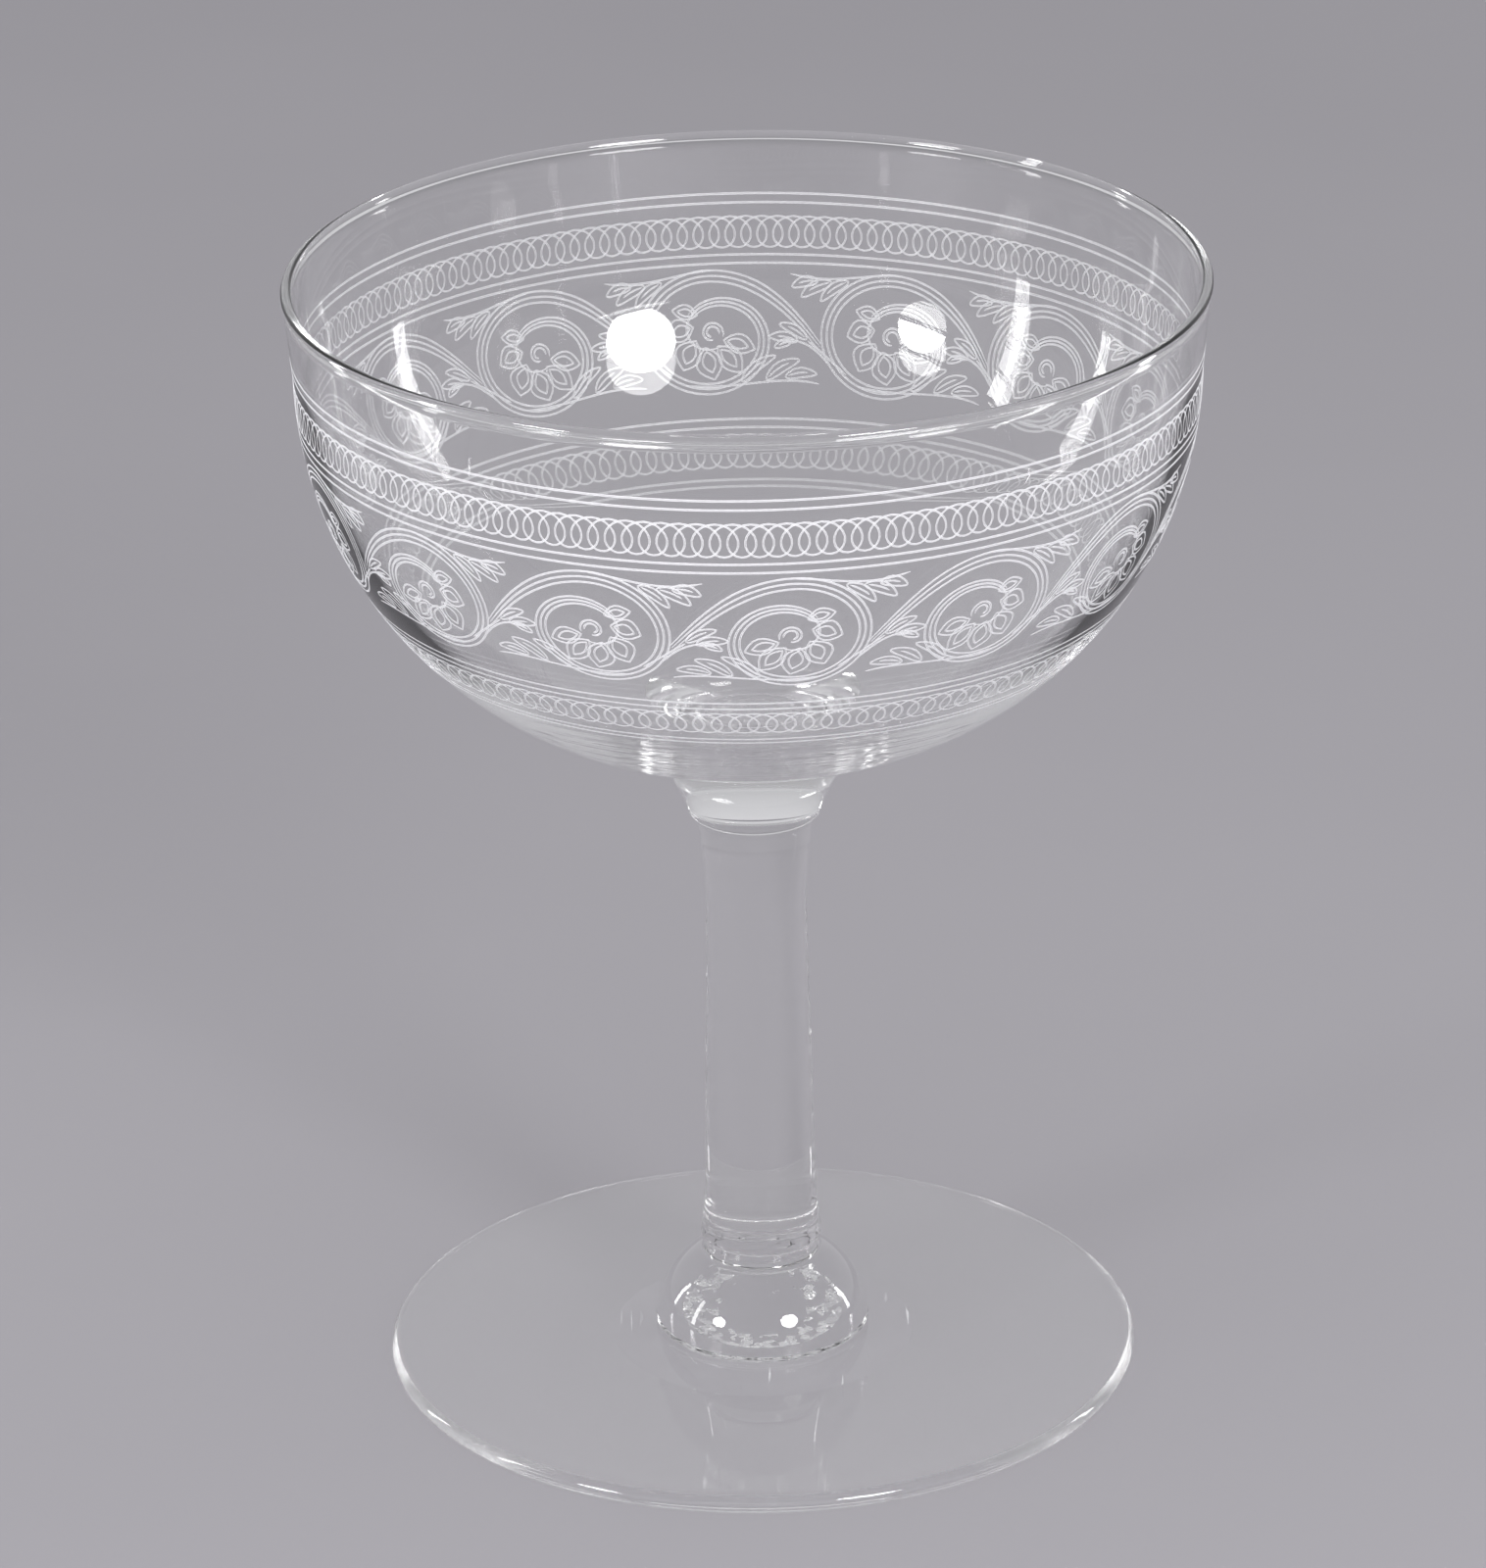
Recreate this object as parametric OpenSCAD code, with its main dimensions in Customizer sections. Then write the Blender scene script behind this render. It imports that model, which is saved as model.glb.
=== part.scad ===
// Coupe glass: a wide round bowl on a slim stem, with a domed knop on a flat round foot.
// Every piece is turned about the Z axis, and Z = 0 is the surface that the glass stands on.
// The pieces are fused face to face, from the foot up to the bowl.

/* [Foot] */
// Diameter of the foot
foot_diameter = 79.8; // [60:0.2:100]
// Thickness of the rounded edge of the foot
foot_edge = 1.9; // [1:0.1:3]
// How far the seat in the middle of the foot stands above the edge
foot_rise = 0.9; // [0.2:0.1:6.4]

/* [Base knop] */
// Diameter of the knop at its widest place, close above the foot
knop_diameter = 22.8; // [17:0.2:32]
// How far the knop hangs over the seat that it is fused to
knop_overhang = 2.4; // [0.8:0.1:4]
// Height of the open crevice between the knop and the foot
knop_gap = 0.2; // [0.1:0.1:1]
// Radius of the knop's rounded lower edge
knop_edge = 0.6; // [0.3:0.1:1.5]
// Radius of the knop's rounded side
knop_round = 8.5; // [5:0.1:10]
// Fillet between the knop and the neck above it
knop_fillet = 1.2; // [0.4:0.1:2.4]
// Diameter of the neck between the knop and the stem
neck_diameter = 12; // [9:0.1:13]

/* [Lower collar] */
// Length of the flared foot of the stem, with its neck
lower_collar_length = 10.1; // [6:0.1:20]
// Height of the plain neck under the collar's lip
neck_height = 0.8; // [0.2:0.1:2]
// Height of the collar's rounded lip
lower_lip = 1; // [0.4:0.1:2]
// How far the collar flares out from the stem to its lip
lower_flare = 0.6; // [0.3:0.1:2]

/* [Stem] */
// Length of the plain stem between its two collars
stem_length = 38.9; // [24:0.1:80]
// Diameter at the lower end of the stem
stem_foot_diameter = 11.7; // [8:0.1:15]
// Diameter at the slimmest place of the stem
stem_waist_diameter = 10.6; // [7:0.1:11.6]
// Length of the trumpet at the top of the stem
trumpet_length = 9.4; // [4:0.1:18]
// How far the trumpet flares out
trumpet_flare = 0.7; // [0.2:0.1:2]

/* [Upper collar] */
// Height of the collar that carries the bowl
upper_collar_height = 10; // [6:0.1:16]
// Height of the plain step under the collar's lip
collar_step = 0.7; // [0.2:0.1:2]
// Height of the collar's rounded lip
upper_lip = 1.8; // [0.8:0.1:3]
// Diameter of the collar at its lip
upper_lip_diameter = 14; // [13:0.1:18]
// Radius of the hollow sweep from the lip out to the bowl
collar_sweep = 25; // [12:0.5:60]

/* [Bowl] */
// Diameter of the seat where the bowl is fused to the collar
bowl_seat_diameter = 24; // [18.5:0.2:34]
// Diameter of the bowl at its belly, where the side stands upright
belly_diameter = 93; // [70:0.5:120]
// Distance from the axis to the centre of the side's arc
belly_offset = 4.9; // [2:0.1:12]
// Angle below level at which the side's arc hands over to the flatter base arc, in degrees
base_turn = 68; // [50:1:75]
// Height of the rim above the belly
rim_rise = 9; // [3:0.5:25]
// Diameter of the rim
rim_diameter = 95; // [72:0.5:124]
// Thickness of the bowl's wall
wall = 1; // [0.8:0.1:2]
// Extra thickness of the bowl's floor over its wall
floor_extra = 1.6; // [0.2:0.1:4]
// Thickness of the rounded rim
rim_lip = 1.2; // [1:0.1:2.4]

/* [Hidden] */
$fn = 180;

// Clear, faintly smoky glass
glass = [0.84, 0.86, 0.88, 0.5];
// How far a cut runs past the faces that it opens
overrun = 1;
// How far two rounds run into each other where they would only touch
overlap = 0.001;

foot_radius = foot_diameter / 2;
knop_radius = knop_diameter / 2;
knop_seat_radius = knop_radius - knop_overhang;
neck_radius = neck_diameter / 2;
stem_foot_radius = stem_foot_diameter / 2;
waist_radius = stem_waist_diameter / 2;
stem_top_radius = waist_radius + trumpet_flare;
lower_lip_radius = stem_foot_radius + lower_flare;
upper_lip_radius = upper_lip_diameter / 2;
seat_radius = bowl_seat_diameter / 2;
belly_radius = belly_diameter / 2;
rim_radius = rim_diameter / 2;

// The knop's side is an arc about this radius and height, and the fillet above runs from that arc to the neck
knop_centre = knop_radius - knop_round - overlap;
knop_middle = knop_gap + knop_edge;
fillet_centre = neck_radius + knop_fillet;
fillet_reach = knop_round + knop_fillet - overlap;
knop_height = knop_middle + sqrt(pow(fillet_reach, 2) - pow(fillet_centre - knop_centre, 2));
fillet_start = knop_centre + (fillet_centre - knop_centre) * knop_round / (knop_round + knop_fillet);

// Heights of the fused faces, from the foot up
knop_z = foot_edge + foot_rise;
lower_collar_z = knop_z + knop_height;
stem_z = lower_collar_z + lower_collar_length;
upper_collar_z = stem_z + stem_length;
bowl_z = upper_collar_z + upper_collar_height;

// The bowl's side arc and its flatter base arc touch at base_turn below level
side_radius = belly_radius - belly_offset;
base_radius = side_radius + belly_offset / cos(base_turn);
base_centre_z = bowl_z + sqrt(pow(base_radius, 2) - pow(seat_radius, 2));
belly_z = base_centre_z - belly_offset * tan(base_turn);
rim_z = belly_z + rim_rise;
rim_lip_z = rim_z - rim_lip / 2;

// From the belly up to the rim the wall leans by this much for each unit of height, inside and out
lean = (rim_radius - (rim_lip - wall) / 2 - belly_radius) / (rim_lip_z - belly_z);

// Radius of an arc that starts square to one side and moves off by rise over the length run
function arc_radius(run, rise) = (pow(run, 2) + pow(rise, 2)) / (2 * rise);

// Centre of an arc of radius r through p and q, on the right of the way from p to q
function arc_centre(p, q, r) =
    let (step = q - p, half = norm(step) / 2)
    (p + q) / 2 + [step.y, -step.x] / norm(step) * sqrt(pow(r, 2) - pow(half, 2));

// A ring of round section: the rounded edge of a foot, a collar or a rim
module bead(outer_radius, thickness, z) {
    translate([outer_radius - thickness / 2, z]) circle(d = thickness);
}

// Half section from the axis that is slim at one height and swells to wide at another
module flare(slim, wide, slim_z, wide_z) {
    sweep = arc_radius(abs(slim_z - wide_z), wide - slim);
    difference() {
        translate([0, min(slim_z, wide_z)]) square([wide, abs(slim_z - wide_z)]);
        translate([slim + sweep, slim_z]) circle(r = sweep);
    }
}

module foot() {
    flat_radius = foot_radius - foot_edge / 2;
    color(glass) rotate_extrude() {
        polygon([[0, 0], [flat_radius, 0], [flat_radius, foot_edge], [knop_radius, knop_z], [0, knop_z]]);
        bead(foot_radius, foot_edge, foot_edge / 2);
    }
}

module base_knop() {
    color(glass) translate([0, 0, knop_z]) rotate_extrude() {
        square([knop_seat_radius, knop_middle]);
        translate([0, knop_gap]) square([knop_radius - knop_edge, knop_edge]);
        bead(knop_radius, 2 * knop_edge, knop_middle);
        intersection() {
            translate([knop_centre, knop_middle]) circle(r = knop_round);
            translate([0, knop_middle]) square([knop_radius + overrun, knop_height - knop_middle]);
        }
        difference() {
            translate([0, knop_gap]) square([fillet_start, knop_height - knop_gap]);
            translate([fillet_centre, knop_height]) circle(r = knop_fillet);
        }
    }
}

module lower_collar() {
    lip_z = neck_height + lower_lip / 2;
    color(glass) translate([0, 0, lower_collar_z]) rotate_extrude() {
        square([neck_radius, lip_z]);
        bead(lower_lip_radius, lower_lip, lip_z);
        flare(stem_foot_radius, lower_lip_radius, lower_collar_length, lip_z);
    }
}

module stem() {
    waist_z = stem_length - trumpet_length;
    color(glass) translate([0, 0, stem_z]) rotate_extrude() {
        polygon([[0, 0], [stem_foot_radius, 0], [waist_radius, waist_z], [0, waist_z]]);
        flare(waist_radius, stem_top_radius, waist_z, stem_length);
    }
}

module upper_collar() {
    lip_z = collar_step + upper_lip / 2;
    sweep_centre = arc_centre([upper_lip_radius, lip_z], [seat_radius, upper_collar_height], collar_sweep);
    color(glass) translate([0, 0, upper_collar_z]) rotate_extrude() {
        square([stem_top_radius, lip_z]);
        bead(upper_lip_radius, upper_lip, lip_z);
        difference() {
            translate([0, lip_z]) square([seat_radius, upper_collar_height - lip_z]);
            translate(sweep_centre) circle(r = collar_sweep);
        }
    }
}

// Half section of the bowl's form, drawn in by inset, its arcs raised by lift, from bottom up to top
module bowl_section(inset, lift, bottom, top) {
    turn_z = base_centre_z + lift - (base_radius - inset) * sin(base_turn);
    side = belly_offset + sqrt(pow(side_radius - inset, 2) - pow(lift, 2));
    intersection() {
        translate([0, base_centre_z + lift]) circle(r = base_radius - inset);
        translate([0, bottom]) square([belly_radius, turn_z - bottom]);
    }
    intersection() {
        translate([belly_offset, belly_z + lift]) circle(r = side_radius - inset);
        translate([0, bottom]) square([belly_radius, belly_z - bottom]);
    }
    polygon([[0, turn_z], [side, belly_z], [side + lean * (top - belly_z), top], [0, top]]);
}

module bowl() {
    color(glass) {
        difference() {
            rotate_extrude() bowl_section(0, 0, bowl_z, rim_lip_z);
            rotate_extrude() bowl_section(wall, floor_extra, bowl_z, rim_z + overrun);
        }
        rotate_extrude() bead(rim_radius, rim_lip, rim_lip_z);
    }
}

foot();
base_knop();
lower_collar();
stem();
upper_collar();
bowl();
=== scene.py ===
# %% [markdown]
# # A coupe glass with an etched bowl
# A coupe is a wide, shallow stem glass. This one is clear and thin, blown and shaped by hand, and the
# bowl carries bands of fine etched lines, loops and scrolls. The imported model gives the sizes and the
# heights at which the pieces are fused. This lesson builds each glass piece again as a smooth surface of
# revolution, adds the etching as real ridges on the wall, and lights the glass so that its edges show.

# %% The frame and its box
import math

import bpy
import numpy as np
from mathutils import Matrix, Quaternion, Vector


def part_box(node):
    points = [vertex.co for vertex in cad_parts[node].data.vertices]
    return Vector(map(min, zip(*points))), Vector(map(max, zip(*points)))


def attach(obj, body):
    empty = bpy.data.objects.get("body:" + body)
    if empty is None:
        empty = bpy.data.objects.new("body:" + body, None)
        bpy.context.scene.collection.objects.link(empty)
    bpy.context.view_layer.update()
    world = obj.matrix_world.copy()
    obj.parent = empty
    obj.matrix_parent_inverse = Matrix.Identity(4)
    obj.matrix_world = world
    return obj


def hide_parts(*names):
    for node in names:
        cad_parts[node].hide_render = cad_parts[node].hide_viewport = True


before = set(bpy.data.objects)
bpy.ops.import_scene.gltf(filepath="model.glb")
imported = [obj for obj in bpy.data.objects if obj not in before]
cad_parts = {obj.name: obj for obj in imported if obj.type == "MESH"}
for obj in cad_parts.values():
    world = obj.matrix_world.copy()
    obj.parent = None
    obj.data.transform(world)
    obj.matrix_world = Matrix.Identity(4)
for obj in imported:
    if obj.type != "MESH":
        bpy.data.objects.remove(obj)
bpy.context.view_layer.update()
# Sizes of the glass are written in millimetres, and MM turns them into Blender's metres
MM = 0.001

# %% [markdown]
# ## The camera
# The photograph looks down on the glass from a little less than a metre away, through a long lens, with
# the camera tipped by about one degree. The camera comes first, because every later look at a piece is
# judged through it. Its place was found by matching the rim, the foot and the bowl's outline.

# %% Camera at the photograph's place
CAMERA_PLACE = Vector((0.0, -0.7549, 0.3842))
CAMERA_TARGET = Vector((-0.0012, 0.0019, 0.0644))
CAMERA_ROLL = math.radians(-0.92)
LENS = 179.84
SENSOR = 36.0

camera_data = bpy.data.cameras.new("camera")
camera_data.sensor_fit = "VERTICAL"
camera_data.sensor_height = SENSOR
camera_data.lens = LENS
camera = bpy.data.objects.new("camera", camera_data)
camera.location = CAMERA_PLACE
aim = (CAMERA_TARGET - CAMERA_PLACE).to_track_quat("-Z", "Y")
camera.rotation_mode = "QUATERNION"
camera.rotation_quaternion = aim @ Quaternion((0, 0, 1), CAMERA_ROLL)
bpy.context.scene.collection.objects.link(camera)
bpy.context.scene.camera = camera
print("camera to target:", round((CAMERA_TARGET - CAMERA_PLACE).length, 3), "m")

# %% [markdown]
# ## Turning a half section
# Every piece of the glass is round, so each one is a half section carried round the axis. Blender has a
# Screw modifier for this, but a numpy grid gives exact rings that meet from piece to piece, and lets the
# flat faces where two pieces are fused have a finish of their own. Light has to cross those faces as if
# nothing were there, because the real glass is one lump.

# %% Half sections and the turned mesh
SEGMENTS = 256
SHARP = math.radians(35)
TOUCH = 1e-3
SAME_POINT = 1e-5
FUSED_SLOT, OWN_SLOT = 1, 2


def arc(centre, radius, start, end, count):
    """Points of a circle about centre (r, z), from one angle to another in degrees, above level positive."""
    angle = np.radians(np.linspace(start, end, count))
    return np.stack([centre[0] + radius * np.cos(angle), centre[1] + radius * np.sin(angle)], axis=1)


def line(start, end, count):
    """Evenly spaced points of a straight line between two (r, z) points."""
    share = np.linspace(0, 1, count)[:, None]
    return np.asarray(start) * (1 - share) + np.asarray(end) * share


def joined(*parts):
    """One half section out of several runs of points, without the points that two runs share."""
    points = np.vstack(parts)
    apart = np.linalg.norm(np.diff(points, axis=0), axis=1) > SAME_POINT
    return points[np.concatenate([[True], apart])]


def new_piece(name, vertices, faces):
    """A mesh object at the origin, with its place in its mesh, shown in the scene."""
    mesh = bpy.data.meshes.new(name)
    mesh.from_pydata(vertices.tolist(), [], faces)
    mesh.update()
    mesh.polygons.foreach_set("use_smooth", np.ones(len(mesh.polygons), bool))
    piece = bpy.data.objects.new(name, mesh)
    bpy.context.scene.collection.objects.link(piece)
    return piece


def turned(name, section, *fused, own=()):
    """Carry a half section in mm round the axis. Grid point (i, j) is (r_i sin a_j, -r_i cos a_j, z_i),
    and the two ends on the axis close the piece with fans. A level run of the section, given as its inner
    radius, outer radius and height, gets the second material slot where it is fused to another piece, and
    the third where it has a finish of its own."""
    angle = np.arange(SEGMENTS) * (2 * np.pi / SEGMENTS)
    ring = section[1:-1]
    level = np.repeat(ring[:, 1:], SEGMENTS, axis=1)
    grid = np.stack([ring[:, :1] * np.sin(angle), -ring[:, :1] * np.cos(angle), level], axis=-1)
    poles = np.array([[0, 0, section[0, 1]], [0, 0, section[-1, 1]]])
    vertices = np.vstack([grid.reshape(-1, 3), poles]) * MM

    index = np.arange(grid.shape[0] * SEGMENTS).reshape(-1, SEGMENTS)
    after = np.roll(index, -1, axis=1)
    quads = np.stack([index[:-1], after[:-1], after[1:], index[1:]], axis=-1).reshape(-1, 4)
    low_pole = np.full(SEGMENTS, index.size)
    low_fan = np.stack([low_pole, after[0], index[0]], axis=-1)
    high_fan = np.stack([index[-1], after[-1], low_pole + 1], axis=-1)
    piece = new_piece(name, vertices, quads.tolist() + low_fan.tolist() + high_fan.tolist())

    flat = np.zeros(len(section) - 1, np.int32)
    for slot, faces in ((FUSED_SLOT, fused), (OWN_SLOT, own)):
        for inner, outer, height in faces:
            inside = (section[:, 0] > inner - TOUCH) & (section[:, 0] < outer + TOUCH)
            inside &= np.isclose(section[:, 1], height, atol=TOUCH)
            flat[inside[:-1] & inside[1:]] = slot
    finish = np.concatenate([np.repeat(flat[1:-1], SEGMENTS), np.repeat(flat[[0, -1]], SEGMENTS)])
    piece.data.polygons.foreach_set("material_index", finish)
    piece.data.set_sharp_from_angle(angle=SHARP)
    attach(piece, "root")
    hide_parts(name)
    print(name, "rings:", len(ring), "faces:", len(piece.data.polygons), "flat:", int((finish > 0).sum()))
    return piece


def level_of(node):
    """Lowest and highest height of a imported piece, in mm."""
    low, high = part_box(node)
    return low.z / MM, high.z / MM


def sweep_radius(run, rise):
    """Radius of an arc that starts level with its run and has moved off by rise at its end."""
    return (run ** 2 + rise ** 2) / (2 * rise)


# %% [markdown]
# ## The foot
# The foot is a thin disc with a rounded edge, which catches the light in a thin bright line. Its top rises
# very gently to the seat of the knop. The section is a flat underside, half a circle for the edge and one
# long slope. The middle of the underside, where the glass was held while it was shaped, is ground dull, so
# it has a finish of its own and the knop above it stays clear.

# %% Foot
FOOT_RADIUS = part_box("foot")[1].x / MM
FOOT_EDGE = 1.9
DULL_RADIUS = 16.0
KNOP_RADIUS = 11.4
KNOP_SEAT = 9.0
_, foot_top = level_of("foot")
flat_radius = FOOT_RADIUS - FOOT_EDGE / 2
foot_section = joined(
    line((0, 0), (DULL_RADIUS, 0), 6),
    line((DULL_RADIUS, 0), (flat_radius, 0), 9),
    arc((flat_radius, FOOT_EDGE / 2), FOOT_EDGE / 2, -90, 90, 28),
    line((flat_radius, FOOT_EDGE), (KNOP_RADIUS, foot_top), 48),
    line((KNOP_RADIUS, foot_top), (KNOP_SEAT, foot_top), 5),
    line((KNOP_SEAT, foot_top), (0, foot_top), 2),
)
foot = turned("foot", foot_section, (0, KNOP_SEAT, foot_top), own=[(0, DULL_RADIUS, 0)])

# %% [markdown]
# ## The base knop
# Between the foot and the stem sits a round cushion of solid glass. It is a strong lens, which turns the
# floor upside down and gathers the lamps into bright shoulders. It is fused to the foot over a seat that
# is smaller than the knop, so a hairline gap runs round under its edge and draws a bright ring. Inside the
# seat, the ring where the two gathers of hot glass met is not quite closed. It holds tiny flat bubbles,
# which sparkle through the knop. The knop's side is one arc over a small rounded edge, and a fillet leads
# from it into the neck.

# %% Base knop
KNOP_GAP = 0.2
KNOP_EDGE = 0.6
KNOP_ROUND = 8.5
SEAM_INNER = 3.2
SEAM_OUTER = 5.8
KNOP_FILLET = 1.2
NECK_RADIUS = 6.0
knop_low, knop_high = level_of("base_knop")
knop_under = knop_low + KNOP_GAP
knop_middle = knop_under + KNOP_EDGE
knop_centre = (KNOP_RADIUS - KNOP_ROUND, knop_middle)
fillet_centre = (NECK_RADIUS + KNOP_FILLET, knop_high)
knop_lean = math.degrees(math.atan2(knop_high - knop_middle, fillet_centre[0] - knop_centre[0]))
knop_section = joined(
    line((0, knop_low), (SEAM_INNER, knop_low), 2),
    line((SEAM_INNER, knop_low), (SEAM_OUTER, knop_low), 3),
    line((SEAM_OUTER, knop_low), (KNOP_SEAT, knop_low), 2),
    line((KNOP_SEAT, knop_low), (KNOP_SEAT, knop_under), 3),
    line((KNOP_SEAT, knop_under), (KNOP_RADIUS - KNOP_EDGE, knop_under), 5),
    arc((KNOP_RADIUS - KNOP_EDGE, knop_middle), KNOP_EDGE, -90, 0, 14),
    arc(knop_centre, KNOP_ROUND, 0, knop_lean, 44),
    arc(fillet_centre, KNOP_FILLET, 180 + knop_lean, 180, 18),
    line((NECK_RADIUS, knop_high), (0, knop_high), 2),
)
base_knop = turned(
    "base_knop", knop_section, (0, KNOP_SEAT, knop_low), (0, NECK_RADIUS, knop_high),
    own=[(SEAM_INNER, SEAM_OUTER, knop_low)],
)

# %% [markdown]
# ## The stem and its two collars
# The stem is a solid rod, drawn out a little slimmer towards the top. At its foot it spreads into a low
# lip over the neck of the knop. At its head it opens like a trumpet into a second lip, which carries the
# bowl. Each spread is one long arc, and each lip is part of a small circle.

# %% Lower collar
COLLAR_NECK = 0.8
LOWER_LIP = 1.0
STEM_FOOT_RADIUS = 5.85
LOWER_FLARE = 0.6
lower_low, lower_high = level_of("lower_collar")
lower_lip_z = lower_low + COLLAR_NECK + LOWER_LIP / 2
lower_lip_centre = (STEM_FOOT_RADIUS + LOWER_FLARE - LOWER_LIP / 2, lower_lip_z)
lower_lip_start = -math.degrees(math.acos((NECK_RADIUS - lower_lip_centre[0]) / (LOWER_LIP / 2)))
lower_sweep = sweep_radius(lower_high - lower_lip_z, LOWER_FLARE)
lower_turn = math.degrees(math.asin((lower_high - lower_lip_z) / lower_sweep))
lower_section = joined(
    line((0, lower_low), (NECK_RADIUS, lower_low), 2),
    arc(lower_lip_centre, LOWER_LIP / 2, lower_lip_start, 0, 14),
    arc((STEM_FOOT_RADIUS + lower_sweep, lower_high), lower_sweep, 180 + lower_turn, 180, 30),
    line((STEM_FOOT_RADIUS, lower_high), (0, lower_high), 2),
)
lower_collar = turned(
    "lower_collar", lower_section, (0, NECK_RADIUS, lower_low), (0, STEM_FOOT_RADIUS, lower_high)
)

# %% Stem
STEM_WAIST_RADIUS = 5.3
TRUMPET_LENGTH = 9.4
TRUMPET_FLARE = 0.7
stem_low, stem_high = level_of("stem")
waist_z = stem_high - TRUMPET_LENGTH
stem_sweep = sweep_radius(TRUMPET_LENGTH, TRUMPET_FLARE)
stem_turn = math.degrees(math.asin(TRUMPET_LENGTH / stem_sweep))
stem_section = joined(
    line((0, stem_low), (STEM_FOOT_RADIUS, stem_low), 2),
    line((STEM_FOOT_RADIUS, stem_low), (STEM_WAIST_RADIUS, waist_z), 40),
    arc((STEM_WAIST_RADIUS + stem_sweep, waist_z), stem_sweep, 180, 180 - stem_turn, 26),
    line((STEM_WAIST_RADIUS + TRUMPET_FLARE, stem_high), (0, stem_high), 2),
)
stem = turned(
    "stem", stem_section, (0, STEM_FOOT_RADIUS, stem_low), (0, STEM_WAIST_RADIUS + TRUMPET_FLARE, stem_high)
)

# %% Upper collar
COLLAR_STEP = 0.7
UPPER_LIP = 1.8
UPPER_LIP_RADIUS = 7.0
COLLAR_SWEEP = 25.0
SEAT_RADIUS = 12.0
upper_low, upper_high = level_of("upper_collar")
stem_top_radius = STEM_WAIST_RADIUS + TRUMPET_FLARE
upper_lip_z = upper_low + COLLAR_STEP + UPPER_LIP / 2
upper_lip_centre = (UPPER_LIP_RADIUS - UPPER_LIP / 2, upper_lip_z)
upper_lip_start = -math.degrees(math.acos((stem_top_radius - upper_lip_centre[0]) / (UPPER_LIP / 2)))
lip_point = np.array([UPPER_LIP_RADIUS, upper_lip_z])
seat_point = np.array([SEAT_RADIUS, upper_high])
chord = seat_point - lip_point
chord_length = np.linalg.norm(chord)
collar_centre = (lip_point + seat_point) / 2 + np.array([chord[1], -chord[0]]) / chord_length * math.sqrt(
    COLLAR_SWEEP ** 2 - (chord_length / 2) ** 2
)
collar_start, collar_end = np.degrees(np.arctan2(
    [lip_point[1] - collar_centre[1], seat_point[1] - collar_centre[1]],
    [lip_point[0] - collar_centre[0], seat_point[0] - collar_centre[0]],
))
upper_section = joined(
    line((0, upper_low), (stem_top_radius, upper_low), 2),
    arc(upper_lip_centre, UPPER_LIP / 2, upper_lip_start, 0, 22),
    arc(collar_centre, COLLAR_SWEEP, collar_start, collar_end, 36),
    line((SEAT_RADIUS, upper_high), (0, upper_high), 2),
)
upper_collar = turned(
    "upper_collar", upper_section, (0, stem_top_radius, upper_low), (0, SEAT_RADIUS, upper_high)
)

# %% [markdown]
# ## The bowl
# The bowl is a thin shell: a flat arc for its floor, a rounder arc for its side, and a straight wall that
# leans out a little to a thickened, rounded rim. Its inside is the same form, drawn in by the wall and
# raised so that the floor is thicker.

# %% Bowl
BELLY_RADIUS = 46.5
BELLY_OFFSET = 4.9
BASE_TURN = 68.0
WALL = 1.0
FLOOR_EXTRA = 1.6
RIM_LIP = 1.2
bowl_low, rim_z = level_of("bowl")
RIM_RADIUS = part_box("bowl")[1].x / MM
side_radius = BELLY_RADIUS - BELLY_OFFSET
base_radius = side_radius + BELLY_OFFSET / math.cos(math.radians(BASE_TURN))
base_centre_z = bowl_low + math.sqrt(base_radius ** 2 - SEAT_RADIUS ** 2)
belly_z = base_centre_z - BELLY_OFFSET * math.tan(math.radians(BASE_TURN))
rim_lip_z = rim_z - RIM_LIP / 2
LEAN = (RIM_RADIUS - (RIM_LIP - WALL) / 2 - BELLY_RADIUS) / (rim_lip_z - belly_z)
inner_belly = BELLY_OFFSET + math.sqrt((side_radius - WALL) ** 2 - FLOOR_EXTRA ** 2)
seat_turn = math.degrees(math.acos(SEAT_RADIUS / base_radius))
inner_start = math.degrees(math.asin(FLOOR_EXTRA / (side_radius - WALL)))


def lip_angle(wall_radius, side):
    """Angle on the rim's circle, in degrees, at which the wall's leaning line runs into it. With the line
    r = a + b z about the circle's centre, it is the lower root of the circle and line taken together."""
    offset = wall_radius - (RIM_RADIUS - RIM_LIP / 2)
    half = LEAN * offset
    root = math.sqrt(half ** 2 - (1 + LEAN ** 2) * (offset ** 2 - (RIM_LIP / 2) ** 2))
    drop = (-half - root) / (1 + LEAN ** 2)
    return math.degrees(math.atan2(drop, offset + LEAN * drop)) + (360 if side == "inner" else 0)


outer_at_lip = BELLY_RADIUS + LEAN * (rim_lip_z - belly_z)
inner_at_lip = inner_belly + LEAN * (rim_lip_z - belly_z)
outer_arcs = joined(
    arc((0, base_centre_z), base_radius, -seat_turn, -BASE_TURN, 40),
    arc((BELLY_OFFSET, belly_z), side_radius, -BASE_TURN, 0, 110),
)
rim_arc = arc(
    (RIM_RADIUS - RIM_LIP / 2, rim_lip_z), RIM_LIP / 2,
    lip_angle(outer_at_lip, "outer"), lip_angle(inner_at_lip, "inner"), 26,
)
bowl_section = joined(
    line((0, bowl_low), (SEAT_RADIUS, bowl_low), 2),
    outer_arcs,
    line((BELLY_RADIUS, belly_z), rim_arc[0], 10),
    rim_arc,
    line(rim_arc[-1], (inner_belly, belly_z), 10),
    arc((BELLY_OFFSET, belly_z + FLOOR_EXTRA), side_radius - WALL, -inner_start, -BASE_TURN, 70),
    arc((0, base_centre_z + FLOOR_EXTRA), base_radius - WALL, -BASE_TURN, -90, 24),
)
bowl_section[-1, 0] = 0
bowl = turned("bowl", bowl_section, (0, SEAT_RADIUS, bowl_low))
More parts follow.
